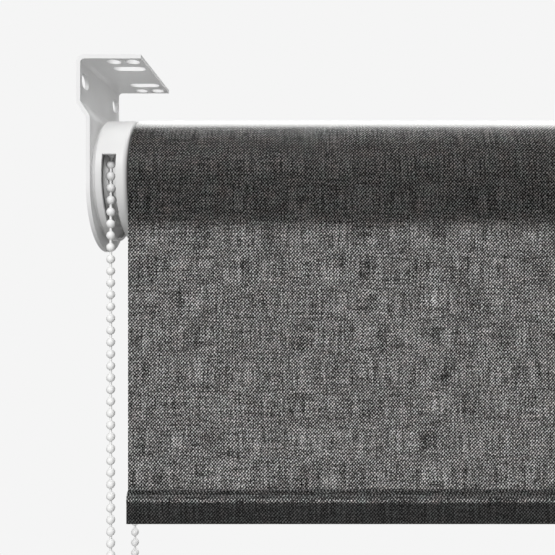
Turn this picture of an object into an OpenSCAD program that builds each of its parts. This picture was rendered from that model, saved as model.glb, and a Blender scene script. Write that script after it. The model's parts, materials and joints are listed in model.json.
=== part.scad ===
// Chain-operated roller blind between two handed ceiling brackets.
// Millimetres. +X runs along the roller to the idle end, +Y runs towards the wall, +Z is up.
// The origin is the middle of the four long slots, on the brackets' ceiling faces.

/* [Blind] */
// Width over the outer faces of the two brackets
overall_w = 600; // [420:10:1800]
// Depth of the roller axis below the ceiling face
axis_drop = 58.7; // [50:0.1:80]
// Length of fabric that hangs below the roller axis, to the underside of the hem
hang_length = 171.5; // [130:0.5:600]

/* [Brackets] */
// Front-to-back depth of a bracket
bracket_d = 67.5; // [66:0.5:90]
// Thickness of the bracket sheet
sheet_t = 2; // [1.5:0.1:3]
// Length of the ceiling flange, from the outer face of the side plate
flange_l = 31.8; // [30:0.2:60]
// Outside radius of the fold between flange and side plate
fold_r = 4; // [3.2:0.1:6]
// Depth below the ceiling face at which the set in the side plate starts
set_top = 23.2; // [20:0.1:24]
// Sideways step of the set in the side plate
set_step = 4.75; // [4.2:0.05:6]
// Slant of the set, from vertical
set_angle = 34; // [30:1:45]
// Inside radius of the two bends of the set
set_r = 2; // [1:0.25:3]
// Depth of the centre of the rounded lower end below the roller axis
end_drop = 4.5; // [0:0.5:8]

/* [Bracket holes] */
// Width of the long ceiling slots
slot_w = 7; // [5:0.5:8]
// End-to-end length of the long ceiling slots
slot_l = 16.5; // [12:0.5:18]
// Distance from the outer face to the middle of the long slots
slot_inset = 21.7; // [16:0.1:21.8]
// Distance from the flange's front or back edge to the middle of a long slot
slot_edge = 17.75; // [17:0.25:22]
// Diameter of the round ceiling holes
ceiling_hole_d = 7; // [4:0.5:8]
// Distance between the round ceiling holes of a pair
ceiling_hole_gap = 9.4; // [8.5:0.1:11]
// Distance from the flange's front or back edge to the round ceiling holes
ceiling_hole_edge = 5.75; // [5:0.25:8]
// Height of the holes in the side plate
side_hole_h = 7.5; // [5:0.5:8]
// Front-to-back length of the holes in the side plate
side_hole_l = 10.5; // [8:0.5:11]
// Distance from the side plate's front or back edge to the middle of its holes
side_hole_edge = 7.75; // [7:0.25:12]
// Depth of the holes in the side plate below the ceiling face
side_hole_drop = 11.5; // [10:0.5:15]

/* [Chain drive] */
// Number of pockets round the chain wheel
pockets = 25; // [20:1:27]
// Distance from bead to bead along the chain
bead_pitch = 6; // [6:0.1:6.4]
// Diameter of a bead
bead_d = 4.5; // [4:0.1:4.8]
// Diameter of the cord through the beads
chain_cord_d = 1.3; // [1:0.1:1.5]
// Outside diameter of the round chain guard
guard_d = 64.4; // [62:0.2:76]
// Wall of the chain guard
guard_wall = 1.6; // [1.2:0.1:2]
// Length of the chain guard along the roller
guard_l = 16; // [14:0.1:20]
// Open gap between the side plate and the chain guard
guard_gap = 1.2; // [0.8:0.1:2]
// Thickness of the drive base against the side plate
base_t = 3; // [2.5:0.1:4]
// Width of the open chain channel in the guard
channel_w = 7.1; // [6:0.1:7.5]
// Distance from the guard's left edge to the chain channel
channel_inset = 3.75; // [3.5:0.05:4.5]
// Angle above horizontal at which the chain channel starts, front and back
channel_angle = 19; // [10:1:30]
// Radius of the fixed spindle
spindle_r = 9; // [7:0.5:10]
// Running clearance, on the radius, between turning and fixed pieces
running = 0.06; // [0.02:0.01:0.1]

/* [Roller] */
// Outside diameter of the roller tube
tube_d = 45; // [43:0.5:50]
// Wall of the roller tube
tube_wall = 1.2; // [1:0.1:1.8]
// Outside diameter of the fabric wound on the tube
roll_d = 62.8; // [56:0.2:66]
// Gap between the chain guard and the edge of the fabric
fabric_gap = 1.2; // [1.2:0.1:4]
// Gap between the idle bracket's side plate and the edge of the fabric
idle_gap = 12.25; // [11:0.25:20]
// Depth of the two end plugs inside the tube
plug_l = 34; // [30:1:50]

/* [Fabric and hem] */
// Thickness of the fabric
fabric_t = 0.7; // [0.4:0.05:1]
// Height of the hem pocket
hem_h = 16.2; // [14:0.2:30]
// Front-to-back thickness of the hem pocket
hem_t = 7; // [6:0.1:10]
// Wall of the bottom bar
bar_wall = 1.1; // [0.8:0.1:1.5]

/* [Idle end] */
// Radius of the sprung idle pin
pin_r = 5; // [4:0.5:6]
// Travel of the sprung idle pin
pin_travel = 8.5; // [8:0.5:10]

/* [Hidden] */
$fn = 64;

eps = 0.01;           // overshoot of a cut past a face
over = 1;             // overshoot of a wide cut, clear of the solid it cuts
clear = 0.3;          // gap between solids of different bodies
seat = 0.05;          // gap, on the radius, between pieces fixed to each other

// Side plates
left_x = -overall_w / 2;
plate_l = left_x + set_step + sheet_t;
plate_r = -plate_l;
end_r = bracket_d / 2;
slot_y = bracket_d / 2 - slot_edge;
ceiling_hole_y = bracket_d / 2 - ceiling_hole_edge;
side_hole_y = bracket_d / 2 - side_hole_edge;
end_z = -axis_drop - end_drop;

// Chain drive, from the side plate to the fabric
guard_r = guard_d / 2;
guard_x0 = plate_l + guard_gap;
guard_x1 = guard_x0 + guard_l;
guard_fillet = 2.5;
guard_chamfer = 0.8;
guard_in = guard_r - guard_wall;
base_x1 = plate_l + base_t;
channel_x0 = guard_x0 + channel_inset;
channel_x1 = channel_x0 + channel_w;
chain_x = channel_x0 + bead_d / 2 + 0.15;
pitch_r = pockets * bead_pitch / (2 * PI);
wheel_r = pitch_r + 0.4;
wheel_half_w = 3.8;
wheel_x0 = chain_x - wheel_half_w;
wheel_x1 = chain_x + wheel_half_w;
wheel_back_r = pitch_r - 2.7;
wheel_back_x1 = guard_x1 - guard_wall - 3 * clear;
wheel_recess_d = 1.2;
wheel_rim = 3.6;
pocket_r = bead_d / 2 + 0.2;
cord_groove_w = chain_cord_d + 3 * clear;
cord_groove_r = pitch_r - pocket_r - clear;
spring_wire = 1.5;
spring_turns = 6;
spring_l = spring_turns * spring_wire;
spring_notch = 0.5;
spring_end_gap = 1;
tang_w = 1.5;
spring_chamber_r = spindle_r + running + spring_wire + 1;
neck_r = spring_chamber_r + 2;
guard_hole_r = neck_r + 1.5;

// Roller
tube_r = tube_d / 2;
tube_in = tube_r - tube_wall;
fabric_x0 = guard_x1 + fabric_gap;
fabric_x1 = plate_r - idle_gap;
flange_t = 0.8;
tube_x0 = guard_x1 + clear + flange_t;
tube_x1 = fabric_x1 + 0.5;
flange_r = tube_r + 1.5;
plug_r = tube_in - seat;
hub_core_r = neck_r + 2;
rib_n = 6;
rib_w = 2.4;
spline_w = 4.2;
spline_h = 2.4;
groove_wall = 1;
groove_mouth = 2.2;
hub_x0 = base_x1 + clear;
hub_x1 = tube_x0 + plug_l;
spindle_x1 = hub_x1 + 4.5;
bearing_l = 6;
clip_groove_d = 1;
clip_t = 1.2;
clip_play = 0.1;
clip_r = spindle_r + 2;
clip_mouth = 3;

// Fabric and hem
roll_r = roll_d / 2;
panel_y0 = -roll_r - clear - fabric_t;
panel_y = panel_y0 + fabric_t / 2;
hem_z0 = -axis_drop - hang_length;
hem_z1 = hem_z0 + hem_h;
hem_neck = 2;
bar_gap = 0.1;
bar_t = hem_t - 2 * fabric_t - 2 * bar_gap;
bar_h = hem_h - hem_neck - 2 * fabric_t - 2 * bar_gap;
bar_z = hem_z0 + fabric_t + bar_gap + bar_h / 2;
cap_t = 1.6;
cap_plug_l = 8;

// Idle end
socket_x0 = fabric_x1 + 2.4;
socket_x1 = plate_r - guard_gap;
socket_web = 1.8;
socket_boss_r = pin_r + 4;
pin_tip_x = plate_r - 2.3;
collar_r = pin_r + 3;
collar_t = 2;
idle_x0 = tube_x1 - plug_l;
idle_front_wall = 9;
idle_chamber_x1 = tube_x1 - idle_front_wall;
collar_x1 = idle_chamber_x1 - clear;
collar_x0 = collar_x1 - collar_t;
idle_chamber_r = collar_r + clear;
idle_cap_r = idle_chamber_r + 4;
idle_core_r = idle_cap_r + 2;
idle_cap_t = 3;
pin_x0 = idle_x0 + 1;
pin_chamfer = 1;
pin_tail_r = pin_r - 1.5;
idle_spring_r0 = pin_tail_r + clear;
idle_spring_r1 = collar_r - clear;
idle_spring_turns = 9;
idle_wire_share = 0.6;

// Fixing screws
bolt_r = 2.5;
bolt_head_r = 4.8;
bolt_head_h = 2.4;
bolt_l = 30;
screw_r = 1.9;
screw_head_r = 3.6;
screw_head_h = 1.6;
screw_pitch = 36;
hex_r_share = 0.45;
hex_depth_share = 0.6;
pillar_r = 4.2;

// Hanging loop of chain: front strand down, bend, back strand up.
// Each point is distance from the middle of the wheel to the front, and depth below the axis.
loop_start = 16;
loop_route = [
    [pitch_r, loop_start], [pitch_r, 60], [pitch_r, 120], [pitch_r, 200], [pitch_r, 280],
    [pitch_r, 350], [23, 390], [21.5, 430], [19, 460], [16, 480], [11, 493], [5.5, 499],
    [0, 500], [-5.5, 499], [-11, 493], [-16, 480], [-19, 460], [-21.5, 430], [-23, 390],
    [-pitch_r, 350], [-pitch_r, 280], [-pitch_r, 200], [-pitch_r, 120], [-pitch_r, 60],
    [-pitch_r, loop_start]
];
loop_sides = 8;
connector_depth = 330;
connector_l = 17;
connector_r = 3.2;
connector_band_l = 2;
connector_band_h = 0.5;
connector_grip = 0.15;

// A solid of revolution about the roller axis; its profile is drawn as [radius, x]
module on_axis(x = 0) {
    translate([x, 0, -axis_drop]) rotate([0, 90, 0]) children();
}

module rod(x0, x1, r) {
    on_axis(x0) cylinder(h = x1 - x0, r = r);
}

module ring(x0, x1, r_in, r_out) {
    on_axis(x0) difference() {
        cylinder(h = x1 - x0, r = r_out);
        translate([0, 0, -eps]) cylinder(h = x1 - x0 + 2 * eps, r = r_in);
    }
}

// A slot or rounded bar outline, long along the first axis
module stadium(l, w) {
    square([l - w, w], center = true);
    for (s = [-1, 1]) translate([s * (l - w) / 2, 0]) circle(d = w);
}

// A screw or bolt along +X with its head's underside at x
module screw(x, y, z, r, l, head_r, head_h) {
    translate([x, y, z]) rotate([0, 90, 0]) {
        cylinder(h = l, r = r);
        translate([0, 0, -head_h]) difference() {
            cylinder(h = head_h, r = head_r);
            translate([0, 0, -eps])
                cylinder(h = head_h * hex_depth_share, r = head_r * hex_r_share, $fn = 6);
        }
    }
}

// Screws through the side plate, level with the roller axis, front and back
module at_screws() {
    for (s = [-1, 1]) translate([0, s * screw_pitch / 2, -axis_drop]) children();
}

// ---- Brackets, drawn for the control end ----

function arc(x, y, r, from, to, steps = 8) =
    [for (i = [0 : steps]) let (a = from + (to - from) * i / steps) [x + r * cos(a), y + r * sin(a)]];

// Section of the folded sheet: round the fold and down the outer face, then back up the inner face
module sheet_profile() {
    bend_rise = (set_r + sheet_t / 2) * tan(set_angle / 2);
    upper = [sheet_t + set_r, bend_rise - set_top];
    lower = [set_step - set_r, -bend_rise - set_top - set_step / tan(set_angle)];
    bottom = end_z - end_r;
    polygon(concat(
        [[flange_l, 0]],
        arc(fold_r, -fold_r, fold_r, 90, 180),
        arc(upper[0], upper[1], set_r + sheet_t, 180, 180 + set_angle),
        arc(lower[0], lower[1], set_r, set_angle, 0),
        [[set_step, bottom], [set_step + sheet_t, bottom]],
        arc(lower[0], lower[1], set_r + sheet_t, 0, set_angle),
        arc(upper[0], upper[1], set_r, 180 + set_angle, 180),
        arc(fold_r, -fold_r, fold_r - sheet_t, 180, 90),
        [[flange_l, -sheet_t]]
    ));
}

module side_outline() {
    translate([-bracket_d / 2, end_z]) square([bracket_d, -end_z]);
    translate([0, end_z]) circle(r = end_r);
}

module ceiling_holes() {
    for (s = [-1, 1]) {
        translate([slot_inset, s * slot_y]) stadium(slot_l, slot_w);
        for (e = [-1, 1])
            translate([slot_inset + e * ceiling_hole_gap / 2, s * ceiling_hole_y])
                circle(d = ceiling_hole_d);
    }
}

module bracket() {
    translate([left_x, 0, 0]) difference() {
        intersection() {
            translate([0, bracket_d / 2, 0]) rotate([90, 0, 0])
                linear_extrude(bracket_d) sheet_profile();
            rotate([90, 0, 90]) linear_extrude(flange_l) side_outline();
        }
        translate([0, 0, -2 * sheet_t]) linear_extrude(3 * sheet_t) ceiling_holes();
        for (s = [-1, 1])
            translate([-eps, s * side_hole_y, -side_hole_drop]) rotate([90, 0, 90])
                linear_extrude(sheet_t + 2 * eps) stadium(side_hole_l, side_hole_h);
        translate([-left_x, 0, 0]) {
            rod(left_x, plate_l + eps, bolt_r + seat);
            at_screws() translate([left_x, 0, 0]) rotate([0, 90, 0])
                cylinder(h = plate_l - left_x + eps, r = screw_r + seat);
        }
    }
}

module control_bracket() {
    color("white") bracket();
}

module idle_bracket() {
    color("white") mirror([1, 0, 0]) bracket();
}

// ---- Chain drive ----

module drive_base() {
    color("whitesmoke") difference() {
        rod(plate_l, base_x1, guard_in - seat);
        rod(plate_l - eps, base_x1 + eps, bolt_r + seat);
        at_screws() translate([plate_l - eps, 0, 0]) rotate([0, 90, 0])
            cylinder(h = base_t + 2 * eps, r = screw_r + seat);
    }
}

module drive_spindle() {
    color("silver") difference() {
        rod(base_x1, spindle_x1, spindle_r);
        rod(base_x1 - eps, spindle_x1 + eps, bolt_r + seat);
        ring(hub_x1 + clear, hub_x1 + clear + clip_t + 2 * clip_play,
             spindle_r - clip_groove_d, spindle_r + over);
    }
}

module spindle_bolt() {
    color("silver") screw(plate_l - sheet_t, 0, -axis_drop, bolt_r, bolt_l, bolt_head_r, bolt_head_h);
}

module drive_screws() {
    color("silver") for (s = [-1, 1])
        screw(plate_l - sheet_t, s * screw_pitch / 2, -axis_drop, screw_r, sheet_t + base_t,
              screw_head_r, screw_head_h);
}

// Outer half-section of the guard as [radius, distance from its left edge]
module guard_outline() {
    difference() {
        square([guard_r, guard_l]);
        translate([guard_r, 0]) rotate(45) square(guard_chamfer * sqrt(2), center = true);
        translate([guard_r - guard_fillet, guard_l - guard_fillet]) difference() {
            square(guard_fillet + eps);
            circle(r = guard_fillet);
        }
    }
}

// The wedge above the chain channel, as seen along the roller
module channel_cut() {
    far = 2 * guard_r;
    rise = far * tan(channel_angle);
    polygon([[0, 0], [-far, rise], [-far, -far], [far, -far], [far, rise]]);
}

module chain_guard() {
    color("whitesmoke") difference() {
        on_axis(guard_x0) rotate_extrude() guard_outline();
        rod(guard_x0 - eps, guard_x1 - guard_wall, guard_in);
        rod(guard_x0 - eps, guard_x1 + eps, guard_hole_r);
        intersection() {
            ring(channel_x0, channel_x1, guard_in - over, guard_r + over);
            translate([channel_x0, 0, -axis_drop]) rotate([90, 0, 90])
                linear_extrude(channel_w) channel_cut();
        }
    }
}

// The wheel's teeth stand between bead pockets; the cord's groove is deeper than the pockets
module chain_wheel() {
    color("white") difference() {
        union() {
            rod(wheel_x0, wheel_x1, wheel_r);
            rod(wheel_x1 - eps, wheel_back_x1, wheel_back_r);
        }
        rod(wheel_x0 - eps, wheel_back_x1 + eps, neck_r + seat);
        ring(wheel_x0 - eps, wheel_x0 + wheel_recess_d, hub_core_r, pitch_r - wheel_rim);
        ring(chain_x - cord_groove_w / 2, chain_x + cord_groove_w / 2, cord_groove_r, wheel_r + over);
        for (i = [0 : pockets - 1])
            on_axis(chain_x) rotate(180 + i * 360 / pockets)
                translate([0, pitch_r, 0]) sphere(r = pocket_r);
    }
}

// One wrap spring: close turns of square wire, and the tang that the hub turns
module wrap_spring(x) {
    wire_r = spindle_r + running + spring_wire;
    on_axis(x) {
        rotate_extrude() difference() {
            translate([spindle_r + running, 0]) square([spring_wire, spring_l]);
            for (i = [1 : spring_turns - 1])
                translate([wire_r, i * spring_wire]) rotate(45) square(spring_notch, center = true);
        }
        translate([wire_r - spring_wire / 2, -tang_w / 2, 0])
            cube([spring_chamber_r - seat - wire_r + spring_wire / 2, tang_w, spring_wire]);
    }
}

module clutch_springs() {
    color("dimgray") {
        wrap_spring(hub_x0 + bearing_l + spring_end_gap);
        wrap_spring(hub_x1 - bearing_l - spring_end_gap - spring_l);
    }
}

module plug_ribs(x0, x1) {
    on_axis(x0) for (i = [0 : rib_n - 1]) rotate((i + 0.5) * 360 / rib_n)
        intersection() {
            translate([0, -rib_w / 2, 0]) cube([plug_r + over, rib_w, x1 - x0]);
            cylinder(h = x1 - x0, r = plug_r);
        }
}

module drive_hub() {
    color("white") difference() {
        union() {
            rod(hub_x0, tube_x0 - flange_t + eps, neck_r);
            rod(tube_x0 - flange_t, tube_x0, flange_r);
            rod(tube_x0 - eps, hub_x1, hub_core_r);
            plug_ribs(tube_x0 - eps, hub_x1);
        }
        rod(hub_x0 - eps, hub_x1 + eps, spindle_r + running);
        rod(hub_x0 + bearing_l, hub_x1 - bearing_l, spring_chamber_r);
    }
}

module hub_clip() {
    color("dimgray") on_axis(hub_x1 + clear + clip_play) difference() {
        cylinder(h = clip_t, r = clip_r);
        translate([0, 0, -eps]) cylinder(h = clip_t + 2 * eps, r = spindle_r - clip_groove_d + seat);
        translate([0, -clip_mouth / 2, -eps]) cube([clip_r + over, clip_mouth, clip_t + 2 * eps]);
    }
}

// ---- Chain ----

// The chain's cord over the wheel, and straight down to where the hanging loop starts
module chain_over_wheel() {
    color("white") {
        translate([chain_x, 0, -axis_drop]) rotate([90, 0, 90])
            rotate_extrude(angle = 180) translate([pitch_r, 0]) circle(d = chain_cord_d);
        for (s = [-1, 1])
            translate([chain_x, s * pitch_r, -axis_drop - loop_start])
                cylinder(h = loop_start, d = chain_cord_d);
    }
}

function route_point(p) = [chain_x, -p[0], -axis_drop - p[1]];
function unit(v) = v / norm(v);
function tangent(route, i) =
    unit(route[min(i + 1, len(route) - 1)] - route[max(i - 1, 0)]);
// The route lies in a plane of constant x, so the x axis is square to every tangent
function tube_ring(route, i, r, sides) =
    let (t = i == 0 || i == len(route) - 1 ? [0, 0, i == 0 ? -1 : 1] : tangent(route, i))
    let (u = [1, 0, 0])
    let (v = cross(t, u))
    [for (k = [0 : sides - 1])
        route[i] + r * (cos(360 * k / sides) * u + sin(360 * k / sides) * v)];

module swept_tube(route, r, sides) {
    rings = len(route);
    points = [for (i = [0 : rings - 1]) each tube_ring(route, i, r, sides)];
    walls = [
        for (i = [0 : rings - 2]) for (k = [0 : sides - 1])
            let (a = i * sides + k)
            let (b = i * sides + (k + 1) % sides)
            [a, b, b + sides, a + sides]
    ];
    start = [for (k = [sides - 1 : -1 : 0]) k];
    finish = [for (k = [0 : sides - 1]) (rings - 1) * sides + k];
    polyhedron(points = points, faces = concat([start], walls, [finish]), convexity = 4);
}

module chain_loop() {
    color("white") swept_tube([for (p = loop_route) route_point(p)], bead_d / 2, loop_sides);
}

// Two-part snap connector that closes the chain into a loop
module chain_connector() {
    color("white") translate([chain_x, pitch_r, -axis_drop - connector_depth - connector_l])
        difference() {
            union() {
                cylinder(h = connector_l, r = connector_r);
                translate([0, 0, (connector_l - connector_band_l) / 2])
                    cylinder(h = connector_band_l, r = connector_r + connector_band_h);
            }
            translate([0, 0, -eps]) cylinder(h = connector_l + 2 * eps, r = bead_d / 2 - connector_grip);
        }
}

// ---- Roller ----

module roller_tube() {
    color("silver") difference() {
        union() {
            ring(tube_x0, tube_x1, tube_in, tube_r);
            on_axis(tube_x0) intersection() {
                translate([-tube_r, -spline_w / 2 - groove_wall, 0])
                    cube([spline_h + 2 * groove_wall, spline_w + 2 * groove_wall, tube_x1 - tube_x0]);
                cylinder(h = tube_x1 - tube_x0, r = tube_r);
            }
        }
        on_axis(tube_x0 - eps) translate([-tube_r + groove_wall, -spline_w / 2, 0])
            cube([spline_h, spline_w, tube_x1 - tube_x0 + 2 * eps]);
        on_axis(tube_x0 - eps) translate([-tube_r - over, -groove_mouth / 2, 0])
            cube([groove_wall + 2 * over, groove_mouth, tube_x1 - tube_x0 + 2 * eps]);
    }
}

module fabric_spline() {
    color("ivory") on_axis(fabric_x0)
        translate([-tube_r + groove_wall + seat, -spline_w / 2 + seat, 0])
        cube([spline_h - 2 * seat, spline_w - 2 * seat, fabric_x1 - fabric_x0]);
}

module fabric_roll() {
    color("dimgray") ring(fabric_x0, fabric_x1, tube_r + seat, roll_r);
}

module fabric_panel() {
    color("dimgray") translate([fabric_x0, panel_y0, hem_z1])
        cube([fabric_x1 - fabric_x0, fabric_t, -axis_drop - hem_z1]);
}

// ---- Hem: the pocket's section is drawn as [height, depth] ----

module hem_pocket() {
    color("dimgray") translate([fabric_x0, panel_y, 0]) rotate([90, 0, 90])
        linear_extrude(fabric_x1 - fabric_x0) difference() {
            union() {
                translate([0, bar_z]) rotate(90)
                    stadium(bar_h + 2 * bar_gap + 2 * fabric_t, hem_t);
                translate([-fabric_t / 2, bar_z]) square([fabric_t, hem_z1 - bar_z]);
            }
            translate([0, bar_z]) rotate(90) stadium(bar_h + 2 * bar_gap, hem_t - 2 * fabric_t);
        }
}

module bottom_bar() {
    color("silver") translate([fabric_x0 + cap_t, panel_y, bar_z]) rotate([90, 0, 90])
        linear_extrude(fabric_x1 - fabric_x0 - 2 * cap_t) rotate(90) difference() {
            stadium(bar_h, bar_t);
            stadium(bar_h - 2 * bar_wall, bar_t - 2 * bar_wall);
        }
}

module bar_end_cap(x, side) {
    translate([x, panel_y, bar_z]) rotate([90, 0, 90]) {
        translate([0, 0, side < 0 ? 0 : -cap_t]) linear_extrude(cap_t)
            rotate(90) stadium(bar_h, bar_t);
        translate([0, 0, side < 0 ? cap_t - eps : -cap_t - cap_plug_l]) linear_extrude(cap_plug_l)
            rotate(90) stadium(bar_h - 2 * bar_wall - 2 * seat, bar_t - 2 * bar_wall - 2 * seat);
    }
}

module bar_end_caps() {
    color("dimgray") {
        bar_end_cap(fabric_x0, -1);
        bar_end_cap(fabric_x1, 1);
    }
}

// ---- Idle end ----

module idle_plug() {
    color("white") difference() {
        union() {
            rod(idle_x0, tube_x1 + eps, idle_core_r);
            plug_ribs(idle_x0, tube_x1 + eps);
            rod(tube_x1, tube_x1 + flange_t, flange_r);
        }
        rod(idle_x0 - eps, idle_chamber_x1, idle_chamber_r);
        rod(idle_x0 - eps, tube_x1 + flange_t + eps, pin_r + running);
        rod(idle_x0 - eps, idle_x0 + idle_cap_t, idle_cap_r);
    }
}

module idle_plug_cap() {
    color("white") ring(idle_x0, idle_x0 + idle_cap_t, pin_tail_r + running, idle_cap_r - seat);
}

module idle_pin() {
    color("silver") {
        rod(pin_x0, collar_x0 + eps, pin_tail_r);
        rod(collar_x0, collar_x1, collar_r);
        rod(collar_x1 - eps, pin_tip_x - pin_chamfer, pin_r);
        on_axis(pin_tip_x - pin_chamfer - eps)
            cylinder(h = pin_chamfer + eps, r1 = pin_r, r2 = pin_r - pin_chamfer);
    }
}

module idle_spring() {
    turn = (collar_x0 - idle_x0 - idle_cap_t - seat) / idle_spring_turns;
    core = (idle_spring_r0 + idle_spring_r1) / 2;
    color("dimgray") on_axis(idle_x0 + idle_cap_t) rotate_extrude() polygon(concat(
        [[idle_spring_r0, 0]],
        [for (i = [0 : idle_spring_turns - 1]) each [
            [idle_spring_r1, i * turn], [idle_spring_r1, (i + idle_wire_share) * turn],
            [core, (i + idle_wire_share) * turn], [core, (i + 1) * turn]
        ]],
        [[idle_spring_r0, idle_spring_turns * turn]]
    ));
}

module idle_socket() {
    color("whitesmoke") {
        mirror([1, 0, 0]) difference() {
            translate([-socket_x1 - guard_x0, 0, 0]) intersection() {
                on_axis(guard_x0) rotate_extrude() guard_outline();
                rod(guard_x0 - over, guard_x0 + socket_x1 - socket_x0, guard_r + over);
            }
            rod(-socket_x1 - eps, -socket_x0 - socket_web, guard_in);
            rod(-socket_x1 - eps, -socket_x0 + eps, pin_r + running);
        }
        ring(socket_x0 + socket_web - eps, plate_r, pin_r + running, socket_boss_r);
        difference() {
            at_screws() translate([socket_x0 + socket_web - eps, 0, 0]) rotate([0, 90, 0])
                cylinder(h = plate_r - socket_x0 - socket_web + eps, r = pillar_r);
            at_screws() translate([plate_r - base_t - over, 0, 0]) rotate([0, 90, 0])
                cylinder(h = base_t + over + eps, r = screw_r + seat);
        }
    }
}

module idle_screws() {
    color("silver") mirror([1, 0, 0]) for (s = [-1, 1])
        screw(plate_l - sheet_t, s * screw_pitch / 2, -axis_drop, screw_r, sheet_t + base_t,
              screw_head_r, screw_head_h);
}

control_bracket();
idle_bracket();
drive_base();
drive_spindle();
spindle_bolt();
drive_screws();
chain_guard();
chain_wheel();
clutch_springs();
drive_hub();
hub_clip();
chain_over_wheel();
chain_loop();
chain_connector();
roller_tube();
fabric_spline();
fabric_roll();
fabric_panel();
hem_pocket();
bottom_bar();
bar_end_caps();
idle_plug();
idle_plug_cap();
idle_pin();
idle_spring();
idle_socket();
idle_screws();
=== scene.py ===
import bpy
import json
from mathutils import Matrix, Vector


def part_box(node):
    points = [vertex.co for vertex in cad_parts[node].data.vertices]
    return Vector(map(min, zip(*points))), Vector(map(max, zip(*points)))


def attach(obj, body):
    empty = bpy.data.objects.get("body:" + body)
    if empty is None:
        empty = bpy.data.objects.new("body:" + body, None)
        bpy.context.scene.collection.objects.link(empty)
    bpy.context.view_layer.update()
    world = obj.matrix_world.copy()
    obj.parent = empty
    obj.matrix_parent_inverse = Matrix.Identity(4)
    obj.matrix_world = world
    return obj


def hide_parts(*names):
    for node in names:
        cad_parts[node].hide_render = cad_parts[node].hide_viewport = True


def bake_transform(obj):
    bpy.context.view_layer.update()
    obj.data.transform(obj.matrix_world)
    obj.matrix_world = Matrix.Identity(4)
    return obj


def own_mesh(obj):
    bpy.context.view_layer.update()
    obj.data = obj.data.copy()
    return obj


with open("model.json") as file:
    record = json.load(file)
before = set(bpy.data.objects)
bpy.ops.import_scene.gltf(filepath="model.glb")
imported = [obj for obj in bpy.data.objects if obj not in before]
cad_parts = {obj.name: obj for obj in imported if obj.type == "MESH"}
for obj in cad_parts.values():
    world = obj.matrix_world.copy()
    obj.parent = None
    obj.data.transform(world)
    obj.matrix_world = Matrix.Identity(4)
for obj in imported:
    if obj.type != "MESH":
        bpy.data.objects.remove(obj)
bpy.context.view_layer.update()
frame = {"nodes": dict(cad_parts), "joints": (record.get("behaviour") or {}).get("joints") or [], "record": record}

import json
from math import cos, pi, radians, sin, tau

import bmesh
import bpy
from mathutils import Matrix, Vector
from mathutils.geometry import interpolate_bezier

MM = 0.001

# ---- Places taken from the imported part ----

joints = {joint["name"]: joint for joint in frame["joints"]}
axis_z = joints["roller_turn"]["pos_m"][2]

roll_low, roll_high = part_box("fabric_roll")
fabric_x0, fabric_x1 = roll_low.x, roll_high.x
panel_low, panel_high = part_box("fabric_panel")
panel_y = (panel_low.y + panel_high.y) / 2
cloth_t = panel_high.y - panel_low.y
hem_low, hem_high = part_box("hem_pocket")
bar_low, bar_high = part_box("bottom_bar")
tube_low, tube_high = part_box("roller_tube")
tube_r = (tube_high.y - tube_low.y) / 2
over_low, over_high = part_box("chain_over_wheel")
string_d = over_high.x - over_low.x
chain_x = (over_low.x + over_high.x) / 2
pitch_r = (over_high.y - over_low.y - string_d) / 2
loop_low, loop_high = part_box("chain_loop")
bead_d = loop_high.x - loop_low.x

# ---- Camera ----


def look_from_front():
    """The camera stands level in front of the chain end and looks straight at the wall."""
    data = bpy.data.cameras.new("camera")
    data.sensor_fit = "HORIZONTAL"
    data.sensor_width = 36
    data.lens = 41.2
    data.shift_x = -0.0386
    data.shift_y = -0.0400
    data.clip_start = 0.01
    camera = bpy.data.objects.new("camera", data)
    camera.location = (-0.19055, -0.3457, -0.0987)
    camera.rotation_euler = (pi / 2, 0, 0)
    bpy.context.scene.collection.objects.link(camera)
    bpy.context.scene.camera = camera


look_from_front()

# ---- Small helpers ----


def linear(hex_code, alpha=1.0):
    """sRGB hex to the linear colour that shaders take."""
    parts = [int(hex_code[i : i + 2], 16) / 255 for i in (1, 3, 5)]
    return (*[c / 12.92 if c <= 0.04045 else ((c + 0.055) / 1.055) ** 2.4 for c in parts], alpha)


def add_node(tree, kind, inputs=(), **settings):
    """One node with its settings, and each input set to a value or linked to a socket."""
    made = tree.nodes.new(kind)
    for name, value in settings.items():
        setattr(made, name, value)
    for key, value in dict(inputs).items():
        if isinstance(value, bpy.types.NodeSocket):
            tree.links.new(value, made.inputs[key])
        else:
            made.inputs[key].default_value = value
    return made


def new_material(name):
    material = bpy.data.materials.new(name)
    material.use_nodes = True
    material.node_tree.nodes.clear()
    return material, material.node_tree


def finish_material(tree, shader):
    add_node(tree, "ShaderNodeOutputMaterial", {"Surface": shader})


def calculate(tree, operation, *values):
    """A Math node's result."""
    return add_node(
        tree, "ShaderNodeMath", dict(enumerate(values)), operation=operation
    ).outputs[0]


def ramp(tree, factor, stops):
    """A colour ramp; stops are (place, hex)."""
    made = add_node(tree, "ShaderNodeValToRGB", {"Fac": factor})
    elements = made.color_ramp.elements
    while len(elements) < len(stops):
        elements.new(0.5)
    for element, (place, hex_code) in zip(elements, stops):
        element.position = place
        element.color = linear(hex_code)
    return made.outputs["Color"]


def mix(tree, share, a, b, how="MIX"):
    """A Mix node's colour."""
    return add_node(
        tree, "ShaderNodeMix", {0: share, 6: a, 7: b}, data_type="RGBA", blend_type=how
    ).outputs[2]


def smooth_share(tree, value, low, high):
    """0 below low, 1 above high, and smooth between."""
    return add_node(
        tree,
        "ShaderNodeMapRange",
        {"Value": value, "From Min": low, "From Max": high},
        interpolation_type="SMOOTHSTEP",
    ).outputs[0]


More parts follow.
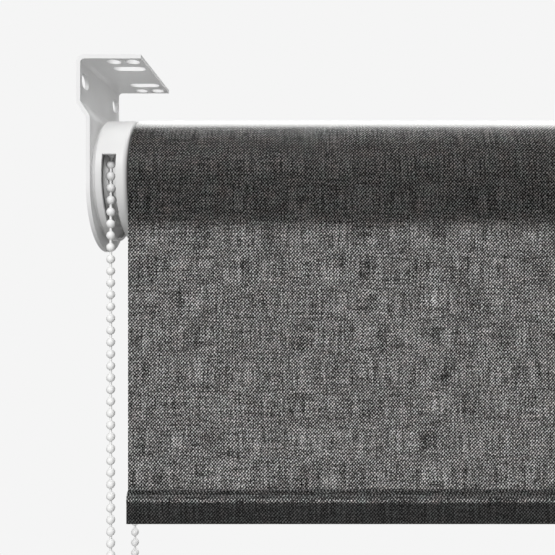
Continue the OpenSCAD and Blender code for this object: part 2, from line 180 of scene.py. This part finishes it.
def keep(name, bm, material, sharp=35):
    """Makes an object of a finished bmesh, smooth except at edges sharper than the given angle."""
    bmesh.ops.recalc_face_normals(bm, faces=bm.faces)
    for face in bm.faces:
        face.smooth = True
    for edge in bm.edges:
        edge.smooth = len(edge.link_faces) != 2 or edge.calc_face_angle(0) < radians(sharp)
    mesh = bpy.data.meshes.new(name)
    bm.to_mesh(mesh)
    bm.free()
    mesh.materials.append(material)
    piece = bpy.data.objects.new(name, mesh)
    bpy.context.scene.collection.objects.link(piece)
    return piece


# ---- Finishes ----


def moulded(name, base, roughness, grain_mm, grain_depth_mm):
    """Injection-moulded plastic: a fine spark-eroded grain and faint flow variation in colour."""
    material, tree = new_material(name)
    place = add_node(tree, "ShaderNodeTexCoord").outputs["Object"]
    grain = add_node(
        tree, "ShaderNodeTexNoise", {"Vector": place, "Scale": 1 / (grain_mm * MM), "Detail": 3.0}
    ).outputs["Fac"]
    flow = add_node(
        tree, "ShaderNodeTexNoise", {"Vector": place, "Scale": 1 / (18 * MM), "Detail": 2.0}
    ).outputs["Fac"]
    colours = ramp(tree, flow, [(0.3, base[0]), (0.7, base[1])])
    rough = add_node(
        tree,
        "ShaderNodeMapRange",
        {"Value": grain, "To Min": roughness - 0.05, "To Max": roughness + 0.07},
    ).outputs[0]
    bump = add_node(
        tree, "ShaderNodeBump", {"Height": grain, "Distance": grain_depth_mm * MM, "Strength": 0.5}
    ).outputs[0]
    shader = add_node(
        tree,
        "ShaderNodeBsdfPrincipled",
        {"Base Color": colours, "Roughness": rough, "Normal": bump, "IOR": 1.48},
    ).outputs[0]
    finish_material(tree, shader)
    return material


def powder_coat():
    """Polyester powder coat on steel sheet: orange peel about a millimetre wide, satin gloss."""
    material, tree = new_material("white powder coated steel")
    place = add_node(tree, "ShaderNodeTexCoord").outputs["Object"]
    peel = add_node(
        tree, "ShaderNodeTexNoise", {"Vector": place, "Scale": 1 / (1.1 * MM), "Detail": 1.0}
    ).outputs["Fac"]
    patch = add_node(
        tree, "ShaderNodeTexNoise", {"Vector": place, "Scale": 1 / (22 * MM), "Detail": 3.0}
    ).outputs["Fac"]
    colours = ramp(tree, patch, [(0.3, "#ededed"), (0.7, "#f3f3f3")])
    rough = add_node(
        tree, "ShaderNodeMapRange", {"Value": patch, "To Min": 0.42, "To Max": 0.52}
    ).outputs[0]
    bump = add_node(
        tree, "ShaderNodeBump", {"Height": peel, "Distance": 0.025 * MM, "Strength": 0.5}
    ).outputs[0]
    shader = add_node(
        tree,
        "ShaderNodeBsdfPrincipled",
        {
            "Base Color": colours,
            "Roughness": rough,
            "Normal": bump,
            "IOR": 1.5,
            "Specular IOR Level": 0.2,
        },
    ).outputs[0]
    finish_material(tree, shader)
    return material


def drawn_metal(name, base, roughness, stretch):
    """Drawn or rolled bare metal: fine scratches that run along the piece."""
    material, tree = new_material(name)
    place = add_node(tree, "ShaderNodeTexCoord").outputs["Object"]
    along = add_node(
        tree, "ShaderNodeMapping", {"Vector": place, "Scale": (1 / stretch, 1.0, 1.0)}
    ).outputs[0]
    scratches = add_node(
        tree, "ShaderNodeTexNoise", {"Vector": along, "Scale": 1 / (0.35 * MM), "Detail": 3.0}
    ).outputs["Fac"]
    colours = ramp(tree, scratches, [(0.25, base[0]), (0.75, base[1])])
    rough = add_node(
        tree,
        "ShaderNodeMapRange",
        {"Value": scratches, "To Min": roughness - 0.06, "To Max": roughness + 0.1},
    ).outputs[0]
    bump = add_node(
        tree, "ShaderNodeBump", {"Height": scratches, "Distance": 0.01 * MM, "Strength": 0.4}
    ).outputs[0]
    shader = add_node(
        tree,
        "ShaderNodeBsdfPrincipled",
        {"Base Color": colours, "Metallic": 1.0, "Roughness": rough, "Normal": bump},
    ).outputs[0]
    finish_material(tree, shader)
    return material


WARP = 0.80 * MM  # from one warp thread to the next, across the blind
WEFT = 0.86 * MM  # from one weft thread to the next, down the blind
RISING, FALLING = 0.58, 0.42  # share of the thread crowns that line up on each diagonal


def woven_polyester(
    name, follows_uv=False, see_through=0.68, pale="#cecdcb", painted_sheen=False, shade=None
):
    """Charcoal polyester, plain weave: pale thread crowns on dark gaps that let some light through,
    thick and thin threads and slubs along both threads; a painted white sheen on top of the roll."""
    material, tree = new_material(name)
    place = add_node(tree, "ShaderNodeTexCoord").outputs["UV" if follows_uv else "Object"]
    apart = add_node(tree, "ShaderNodeSeparateXYZ", {0: place}).outputs
    across, down = apart[0], apart[1 if follows_uv else 2]
    flat = add_node(tree, "ShaderNodeCombineXYZ", {0: across, 1: down, 2: 0.0}).outputs[0]

    def streaks(width, length, seed, detail=2.0):
        size = add_node(
            tree,
            "ShaderNodeMapping",
            {"Vector": flat, "Scale": (1 / width, 1 / length, 1.0), "Location": (seed, seed, 0.0)},
        ).outputs[0]
        return add_node(
            tree, "ShaderNodeTexNoise", {"Vector": size, "Scale": 1.0, "Detail": detail}
        ).outputs["Fac"]

    drift = calculate(tree, "MULTIPLY", streaks(14 * MM, 9 * MM, 3.1), 5.0)
    swing = calculate(tree, "MULTIPLY", streaks(9 * MM, 16 * MM, 8.7), 5.0)
    warp_turn = calculate(
        tree, "ADD", calculate(tree, "MULTIPLY", across, pi / WARP), drift
    )
    weft_turn = calculate(tree, "ADD", calculate(tree, "MULTIPLY", down, pi / WEFT), swing)
    rising = calculate(tree, "COSINE", calculate(tree, "SUBTRACT", warp_turn, weft_turn))
    falling = calculate(tree, "COSINE", calculate(tree, "ADD", warp_turn, weft_turn))
    crowns = calculate(
        tree,
        "SUBTRACT",
        calculate(tree, "MULTIPLY", rising, RISING),
        calculate(tree, "MULTIPLY", falling, FALLING),
    )
    ends = calculate(tree, "SUBTRACT", streaks(0.8 * MM, 17 * MM, 1.7), 0.5)
    picks = calculate(tree, "SUBTRACT", streaks(16 * MM, 1.1 * MM, 5.3), 0.5)
    tufts = calculate(tree, "SUBTRACT", streaks(0.7 * MM, 0.75 * MM, 9.9), 0.5)
    height = calculate(tree, "MULTIPLY_ADD", tufts, 3.2, 1.0)
    thread = calculate(tree, "MULTIPLY_ADD", calculate(tree, "MULTIPLY", crowns, height), 0.36, 0.5)
    for streak, strength in ((ends, 0.62), (picks, 0.45), (tufts, 1.3)):
        thread = calculate(tree, "MULTIPLY_ADD", streak, strength, thread)
    colours = ramp(
        tree, thread, [(0.3, "#020202"), (0.55, "#121212"), (0.9, pale)]
    )
    dye = ramp(
        tree,
        streaks(7 * MM, 7 * MM, 2.2, 1.0),
        [(0.3, "#f2fffb"), (0.5, "#ffffff"), (0.7, "#fff3f0")],
    )
    colours = mix(tree, 1.0, colours, dye, "MULTIPLY")
    glow = ramp(tree, thread, [(0.2, "#0c0c0c"), (0.55, "#747473"), (0.95, "#ffffff")])
    bump = add_node(
        tree, "ShaderNodeBump", {"Height": thread, "Distance": 0.2 * MM, "Strength": 0.6}
    ).outputs[0]
    # Where a shade ramp is given, its painted light and shade are multiplied into the cloth's colour.
    if shade:
        colours = mix(tree, 1.0, colours, shade(tree), "MULTIPLY")
    front = add_node(
        tree,
        "ShaderNodeBsdfPrincipled",
        {
            "Base Color": colours,
            "Roughness": 0.45,
            "Normal": bump,
            "Specular IOR Level": calculate(tree, "MULTIPLY", thread, 1.2),
        },
    ).outputs[0]
    if see_through:
        through = add_node(tree, "ShaderNodeBsdfTranslucent", {"Color": glow}).outputs[0]
        front = add_node(
            tree, "ShaderNodeMixShader", {0: see_through, 1: front, 2: through}
        ).outputs[0]
    if painted_sheen:
        front = painted_top_sheen(tree, front)
    finish_material(tree, front)
    return material


def painted_top_sheen(tree, cloth):
    """Painted sheen: white diffuse mixed in where the cloth's upper side is seen edge-on, standing in for the
    bright rim of light on top of the roll.
    """
    edge_on = add_node(tree, "ShaderNodeLayerWeight", {"Blend": 0.5}).outputs["Facing"]
    normal = add_node(tree, "ShaderNodeNewGeometry").outputs["Normal"]
    upward = add_node(tree, "ShaderNodeSeparateXYZ", {0: normal}).outputs[2]
    amount = calculate(
        tree, "MULTIPLY", smooth_share(tree, edge_on, 0.43, 0.86), smooth_share(tree, upward, 0.66, 0.84)
    )
    # White that stands in for the highlight along the roll's top.
    sheen_white = add_node(tree, "ShaderNodeBsdfDiffuse", {"Color": linear("#f0f0ef")}).outputs[0]
    return add_node(tree, "ShaderNodeMixShader", {0: amount, 1: cloth, 2: sheen_white}).outputs[0]


# Powder-coated brackets; acetal mouldings; acetal beads; zinc-plated turned steel; oiled spring wire;
# mill-finish aluminium; charcoal nylon caps; soft keder strip.
coat = powder_coat()
acetal = moulded("white acetal moulding", ("#e0e0e0", "#e5e5e4"), 0.42, 0.7, 0.012)
bead_acetal = moulded("white acetal beads", ("#fafafa", "#fdfdfc"), 0.45, 1.2, 0.01)
charcoal_nylon = moulded("charcoal nylon moulding", ("#1e1e1e", "#262525"), 0.5, 0.6, 0.015)
keder = moulded("extruded soft strip", ("#cfc9ba", "#dad5c8"), 0.55, 1.5, 0.01)
zinc = drawn_metal("zinc plated turned steel", ("#a9abae", "#c6c8ca"), 0.34, 6)
spring_wire = drawn_metal("oiled spring wire", ("#4c4c4e", "#6b6b6d"), 0.38, 3)
mill_aluminium = drawn_metal("mill finish aluminium", ("#b5b7b9", "#d0d1d2"), 0.36, 40)

# ---- Ball chain ----

LOOP_START = 16 * MM  # below the wheel's axis
# Down the front strand, round the loop and up the back strand, in metres:
# (distance in front of the wheel's axis, drop below it)
LOOP_ROUTE = [
    (pitch_r, LOOP_START), (pitch_r, 0.06), (pitch_r, 0.12), (pitch_r, 0.2), (pitch_r, 0.28),
    (pitch_r, 0.35), (0.023, 0.39), (0.0215, 0.43), (0.019, 0.46), (0.016, 0.48), (0.011, 0.493),
    (0.0055, 0.499), (0, 0.5), (-0.0055, 0.499), (-0.011, 0.493), (-0.016, 0.48), (-0.019, 0.46),
    (-0.0215, 0.43), (-0.023, 0.39), (-pitch_r, 0.35), (-pitch_r, 0.28), (-pitch_r, 0.2),
    (-pitch_r, 0.12), (-pitch_r, 0.06), (-pitch_r, LOOP_START),
]
BEAD_PITCH = 6 * MM
WHEEL_BEADS = 13
HALF_WHEEL = 12.5  # bead pitches from the front of the wheel over the top to its back
STRANDS = 6  # pieces that the hanging beads are made in


def string_curve():
    """The chain's cord as one curve that hangs as a loop."""
    data = bpy.data.curves.new("chain_string", "CURVE")
    data.dimensions = "3D"
    data.bevel_depth = string_d / 2
    data.bevel_resolution = 3
    data.resolution_u = 6
    data.use_fill_caps = True
    spline = data.splines.new("BEZIER")
    spline.bezier_points.add(len(LOOP_ROUTE) - 1)
    for point, (front, drop) in zip(spline.bezier_points, LOOP_ROUTE):
        point.co = (chain_x, -front, axis_z - drop)
        point.handle_left_type = point.handle_right_type = "AUTO"
    data.materials.append(bead_acetal)
    string = bpy.data.objects.new("chain_string", data)
    bpy.context.scene.collection.objects.link(string)
    bpy.context.view_layer.update()
    return string


def hanging_line(string):
    """Close points down the front strand from the wheel, round the loop and up to the wheel again."""
    points = string.data.splines[0].bezier_points
    line = [Vector((chain_x, -pitch_r, axis_z))]
    for a, b in zip(points, points[1:]):
        line += interpolate_bezier(a.co, a.handle_right, b.handle_left, b.co, 40)[:-1]
    return line + [points[-1].co.copy(), Vector((chain_x, pitch_r, axis_z))]


def evenly(line, count, last_gap):
    """Places and directions of beads at equal steps along a line, the last one short of its end."""
    marks = [0.0]
    for a, b in zip(line, line[1:]):
        marks.append(marks[-1] + (b - a).length)
    step = (marks[-1] - last_gap) / count
    found, at = [], 0
    for k in range(1, count + 1):
        while marks[at + 1] < k * step:
            at += 1
        share = (k * step - marks[at]) / (marks[at + 1] - marks[at])
        found.append((line[at].lerp(line[at + 1], share), (line[at + 1] - line[at]).normalized()))
    return found


def beads(name, places):
    """Moulded beads threaded on the cord, each with its poles on the cord."""
    bm = bmesh.new()
    for centre, direction in places:
        turn = direction.to_track_quat("Z", "X").to_matrix().to_4x4()
        bmesh.ops.create_uvsphere(
            bm,
            u_segments=14,
            v_segments=8,
            radius=bead_d / 2,
            matrix=Matrix.Translation(centre) @ turn,
        )
    return keep(name, bm, bead_acetal, sharp=60)


def make_chain():
    string = string_curve()
    line = hanging_line(string)
    length = sum((b - a).length for a, b in zip(line, line[1:]))
    last_gap = BEAD_PITCH * (WHEEL_BEADS - HALF_WHEEL)
    count = round((length - last_gap) / BEAD_PITCH)
    hanging = evenly(line, count, last_gap)
    strands = []
    for k in range(STRANDS):
        part = hanging[k * count // STRANDS : (k + 1) * count // STRANDS]
        strands.append(beads(f"chain_beads_{k + 1}", part))
    on_wheel = []
    for k in range(WHEEL_BEADS):
        turn = k * BEAD_PITCH / pitch_r
        centre = Vector((chain_x, -pitch_r * cos(turn), axis_z + pitch_r * sin(turn)))
        on_wheel.append((centre, Vector((0, sin(turn), cos(turn)))))
    wheel_beads = beads("chain_beads_on_wheel", on_wheel)
    for piece in (string, *strands, wheel_beads):
        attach(piece, "brackets")
    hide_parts("chain_loop")


make_chain()

# ---- Fabric ----

WIND_PITCH = 0.78 * MM  # how far each turn of the roll stands off the one below
TUCK = 0.36 * MM  # how far the last turn closes in before it meets the hanging fabric
OUTER_TURN = 345 / 360  # share of a turn that the last layer goes round
OUTER_GAP = 0.14 * MM  # between the last turn and the wound fabric below it
TUBE_GAP = 0.06 * MM  # between the wound fabric and the tube
TURN_STEPS = 60
DROP_ROWS = 120


def spiral(turns, outer_r, shrink):
    """Fabric wound round the roller's axis from its front, over the top and back under: a short edge
    as thick as the cloth is spun with a sideways step, which then says how far round each point is."""
    bm = bmesh.new()
    edge = [bm.verts.new((0, -outer_r - side * cloth_t / 2, axis_z)) for side in (1, -1)]
    steps = round(turns * TURN_STEPS)
    bmesh.ops.spin(
        bm,
        geom=[*edge, bm.edges.new(edge)],
        cent=(0, 0, axis_z),
        axis=(1, 0, 0),
        dvec=(1 / TURN_STEPS, 0, 0),
        angle=-turns * tau,
        steps=steps,
        use_duplicate=False,
    )
    bmesh.ops.remove_doubles(bm, verts=bm.verts, dist=1e-6)
    for vert in bm.verts:
        turn = vert.co.x
        radius = Vector((vert.co.y, vert.co.z - axis_z)).length - turn * shrink
        vert.co.y = -radius * cos(turn * tau)
        vert.co.z = axis_z + radius * sin(turn * tau)
    lay_threads(bm, lambda co: axis_z + co.x * tau * (outer_r - co.x * shrink / 2))
    for vert in bm.verts:
        vert.co.x = fabric_x0
    return bm


def lay_threads(bm, down):
    """Gives the cloth's section the thread coordinate that runs down the cloth."""
    layer = bm.loops.layers.uv.new("threads")
    for face in bm.faces:
        for loop in face.loops:
            loop[layer].uv = (fabric_x0, down(loop.vert.co))


def weave_across(bm):
    """Draws a cloth's section out along the roller, threads and all."""
    made = bmesh.ops.extrude_face_region(bm, geom=bm.faces[:])["geom"]
    far = [item for item in made if isinstance(item, bmesh.types.BMVert)]
    bmesh.ops.translate(bm, verts=far, vec=(fabric_x1 - fabric_x0, 0, 0))
    layer = bm.loops.layers.uv.active
    for face in bm.faces:
        for loop in face.loops:
            loop[layer].uv.x = loop.vert.co.x


def outer_turn(material):
    bm = spiral(OUTER_TURN, -panel_y, TUCK)
    weave_across(bm)
    piece = keep("fabric_outer_turn", bm, material)
    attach(piece, "brackets")
    return piece


def wound_fabric(material):
    outer_r = -panel_y - TUCK - cloth_t - OUTER_GAP
    turns = (outer_r - tube_r - cloth_t / 2 - TUBE_GAP) / WIND_PITCH
    bm = spiral(turns, outer_r, WIND_PITCH)
    weave_across(bm)
    piece = keep("fabric_wound", bm, material)
    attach(piece, "roller")
    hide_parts("fabric_roll")
    return piece, turns * tau * (outer_r - turns * WIND_PITCH / 2)


def hanging_fabric(material):
    """The fabric between roll and hem, with a row of points about every weft or two so that it can
    lengthen and shorten as the hem moves."""
    bm = bmesh.new()
    bmesh.ops.create_cube(bm, size=1)
    low = Vector((fabric_x0, panel_low.y, hem_high.z))
    high = Vector((fabric_x1, panel_high.y, axis_z))
    for vert in bm.verts:
        vert.co = [(a + b) / 2 + (b - a) * c for a, b, c in zip(low, high, vert.co)]
    upright = [edge for edge in bm.edges if abs(edge.verts[0].co.z - edge.verts[1].co.z) > MM]
    bmesh.ops.subdivide_edges(bm, edges=upright, cuts=DROP_ROWS - 1, use_grid_fill=True)
    piece = keep("fabric_drop", bm, material)
    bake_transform(piece)
    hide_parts("fabric_panel")
    return piece


# Hem section: [distance in front of the hanging fabric's middle, height above the hem's underside],
# with the welded neck at the top, the pressed crease in front, and the bar's room below it
HEM_OUTLINE = [
    (0.35, 16.2), (0.6, 15.6), (3.35, 14.1), (3.4, 12.6), (3.85, 11.6), (3.5, 10.4),
    (3.5, 0.0), (-3.45, 0.0), (-3.45, 11.6), (-0.35, 16.2),
]
HEM_ROUNDING = {2: 0.7, 3: 0.5, 4: 0.45, 5: 0.5, 6: 0.6, 7: 1.2, 8: 2.4}  # by outline point
HEM_TOP = HEM_OUTLINE[0][1] * MM
BAR_ROOM = 0.1 * MM  # round the bottom bar


def hem_section():
    bm = bmesh.new()
    outline = [
        bm.verts.new((fabric_x0, panel_y - front * MM, hem_low.z + height * MM))
        for front, height in HEM_OUTLINE
    ]
    for a, b in zip(outline, outline[1:] + outline[:1]):
        bm.edges.new((a, b))
    for corner, radius in HEM_ROUNDING.items():
        bmesh.ops.bevel(
            bm,
            geom=[outline[corner]],
            offset=radius * MM,
            segments=4,
            profile=0.5,
            affect="VERTICES",
            material=-1,
        )
    bar_mid = (bar_low.z + bar_high.z) / 2
    room = (bar_high.y - bar_low.y) / 2 + BAR_ROOM
    straight = (bar_high.z - bar_low.z - bar_high.y + bar_low.y) / 2
    hole = bmesh.ops.create_circle(
        bm,
        segments=32,
        radius=room,
        matrix=Matrix.Translation((fabric_x0, panel_y, bar_mid)) @ Matrix.Rotation(pi / 2, 4, "Y"),
    )["verts"]
    for vert in hole:
        vert.co.z += straight if vert.co.z > bar_mid else -straight
    bmesh.ops.triangle_fill(bm, edges=bm.edges[:], use_beauty=True, normal=(1, 0, 0))
    return bm


def hem_wrap(material):
    """The fabric turned up round the bottom bar and welded to itself behind a pressed crease."""
    bm = hem_section()
    lay_threads(bm, lambda co: co.z)
    weave_across(bm)
    layer = bm.loops.layers.uv.active
    bm.normal_update()
    for face in bm.faces:
        if abs(face.normal.z) > 0.8:
            for loop in face.loops:
                loop[layer].uv.y = hem_low.z - loop.vert.co.y
    piece = keep("hem_wrap", bm, material)
    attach(piece, "hem")
    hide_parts("hem_pocket")
    return piece


def painted_crease_light_and_shade(tree):
    """Painted light and shade on the hem by height: a painted highlight band along the crease, painted shade below
    it where the bar sits, and milder painted shade above it.
    """
    place = add_node(tree, "ShaderNodeTexCoord").outputs["Object"]
    height = add_node(tree, "ShaderNodeSeparateXYZ", {0: place}).outputs[2]
    share = calculate(tree, "DIVIDE", calculate(tree, "SUBTRACT", height, hem_low.z), HEM_TOP)
    stops = [(0.64, "#5c5c5c"), (0.67, "#ffffff"), (0.74, "#ffffff"), (0.79, "#a0a0a0")]
    return ramp(tree, share, stops)


def make_fabric():
    hanging = woven_polyester("charcoal plain weave")
    wound = woven_polyester("charcoal plain weave on the roll", follows_uv=True, painted_sheen=True)
    # The hem cloth is a paler copy of the same weave, so that the painted highlight and painted shade multiplied
    # over it reach the wanted brightness.
    hem = woven_polyester(
        "charcoal plain weave of the hem",
        follows_uv=True,
        see_through=0.2,
        pale="#e9e9e7",
        shade=painted_crease_light_and_shade,
    )
    turn = outer_turn(wound)
    roll, wound_length = wound_fabric(wound)
    drop = hanging_fabric(hanging)
    wrap = hem_wrap(hem)


make_fabric()

# ---- Spring behind the idle pin ----

SPRING_TURNS = 9
SPRING_WIRE = 1.0 * MM
COIL_STEPS = 24


def pin_spring():
    """A round-wire compression spring in the plug; it shortens as the pin slides in."""
    low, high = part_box("idle_spring")
    coil_r = (high.y - low.y - SPRING_WIRE) / 2
    rise = (high.x - low.x - SPRING_WIRE) / SPRING_TURNS
    bm = bmesh.new()
    bmesh.ops.create_circle(
        bm,
        cap_ends=True,
        segments=10,
        radius=SPRING_WIRE / 2,
        matrix=Matrix.Translation((low.x + SPRING_WIRE / 2, 0, axis_z + coil_r))
        @ Matrix.Rotation(pi / 2, 4, "X"),
    )
    bmesh.ops.spin(
        bm,
        geom=[*bm.verts, *bm.edges, *bm.faces],
        cent=(0, 0, axis_z),
        axis=(1, 0, 0),
        dvec=(rise / COIL_STEPS, 0, 0),
        angle=SPRING_TURNS * tau,
        steps=SPRING_TURNS * COIL_STEPS,
        use_duplicate=False,
    )
    piece = keep("pin_spring", bm, spring_wire)
    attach(piece, "roller")
    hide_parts("idle_spring")
    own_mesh(piece)


pin_spring()

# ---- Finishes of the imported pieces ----

FINISHES = {
    "bracket_paint": coat,
    "white_plastic": acetal,
    "chain_plastic": bead_acetal,
    "zinc_steel": zinc,
    "spring_steel": spring_wire,
    "aluminium": mill_aluminium,
    "dark_plastic": charcoal_nylon,
    "clear_strip": keder,
}
for subpart in frame["record"]["subparts"]:
    if subpart["material_slot"] in FINISHES:
        mesh = frame["nodes"][subpart["node"]].data
        mesh.materials.clear()
        mesh.materials.append(FINISHES[subpart["material_slot"]])

# ---- Room: pale floor and soft studio light ----

FLOOR_Z = -2.3
FLOOR_R = 1.5


def studio():
    """A plain pale backdrop; its light is strong behind the blind, softer in front of it, and dim from
    the sides and from below."""
    world = bpy.data.worlds.new("studio")
    world.use_nodes = True
    tree = world.node_tree
    tree.nodes.clear()
    direction = add_node(tree, "ShaderNodeTexCoord").outputs["Generated"]
    apart = add_node(tree, "ShaderNodeSeparateXYZ", {0: direction}).outputs
    height = calculate(tree, "MULTIPLY_ADD", apart[2], 0.5, 0.5)
    sides = ramp(tree, height, [(0.2, "#303030"), (0.5, "#5c5c5c"), (1.0, "#a8a8a8")])
    depth = calculate(tree, "MULTIPLY_ADD", apart[1], 0.5, 0.5)
    fades = [(0.12, "#d2d2d2"), (0.36, "#000000"), (0.87, "#000000"), (0.915, "#ffffff")]
    towards = ramp(tree, depth, fades)
    wall = linear("#f5f5f5")
    seen = add_node(tree, "ShaderNodeLightPath").outputs["Is Camera Ray"]
    pale = mix(tree, seen, mix(tree, towards, sides, wall), wall)
    background = add_node(tree, "ShaderNodeBackground", {"Color": pale, "Strength": 1.0})
    add_node(tree, "ShaderNodeOutputWorld", {"Surface": background.outputs[0]})
    bpy.context.scene.world = world
    bpy.context.scene.view_settings.view_transform = "Standard"


def floor():
    material, tree = new_material("pale matt floor")
    place = add_node(tree, "ShaderNodeTexCoord").outputs["Object"]
    mottle = add_node(tree, "ShaderNodeTexNoise", {"Vector": place, "Scale": 3.0}).outputs["Fac"]
    colours = ramp(tree, mottle, [(0.3, "#dededc"), (0.7, "#e4e4e2")])
    shader = add_node(
        tree, "ShaderNodeBsdfPrincipled", {"Base Color": colours, "Roughness": 0.9}
    ).outputs[0]
    finish_material(tree, shader)
    bm = bmesh.new()
    bmesh.ops.create_circle(
        bm, cap_ends=True, segments=96, radius=FLOOR_R, matrix=Matrix.Translation((0, 0, FLOOR_Z))
    )
    keep("floor", bm, material)


def soft_light(name, place, aim, size, power):
    data = bpy.data.lights.new(name, "AREA")
    data.shape = "ELLIPSE"
    data.size, data.size_y = size
    data.energy = power
    light = bpy.data.objects.new(name, data)
    light.location = place
    light.visible_camera = False
    light.rotation_euler = (Vector(aim) - Vector(place)).to_track_quat("-Z", "Y").to_euler()
    bpy.context.scene.collection.objects.link(light)
    return light


def shine_through():
    """Light that comes through the cloth from behind and a little below, and reaches only the cloth."""
    light = soft_light("cloth_light", (0, 1.5, -0.45), (0, 0, -0.12), (1.6, 0.5), 86)
    lit = bpy.data.collections.new("cloth")
    for name in ("fabric_outer_turn", "fabric_wound", "fabric_drop", "hem_wrap"):
        lit.objects.link(bpy.data.objects[name])
    light.light_linking.receiver_collection = lit


studio()
floor()
soft_light("front_light", (-0.4, -1.6, 1.1), (-0.1, 0, -0.1), (1.1, 0.7), 22)
soft_light("top_light", (0.0, 0.45, 1.2), (0, 0, -0.05), (1.4, 0.5), 14)
shine_through()
